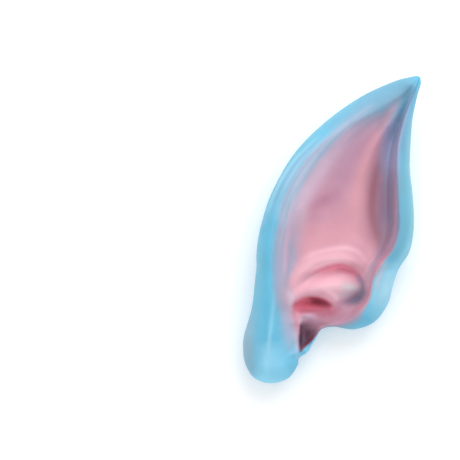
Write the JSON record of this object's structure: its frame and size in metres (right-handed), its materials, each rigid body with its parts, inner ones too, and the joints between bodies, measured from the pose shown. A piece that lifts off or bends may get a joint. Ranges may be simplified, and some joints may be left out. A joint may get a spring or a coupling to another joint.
{
  "type": "elf ear tip",
  "caption": "Pointed elf ear cover of thin latex with a sculpted bowl and folds, hollow behind, with an opening in its flat back for the wearer's ear.",
  "frame": {"origin": "middle of the ear's outline, on the flat back that it lies on", "axes": "+X across the ear towards the high rim, +Y from the lobe to the tip, +Z out of the bowl"},
  "size_m": [0.0664, 0.1152, 0.0254],
  "materials": {
    "latex": "satin cast latex, pale blue, airbrushed pink inside the folds"
  },
  "bodies": {
    "root": {"ear_shell": "latex"}
  },
  "joints": []
}
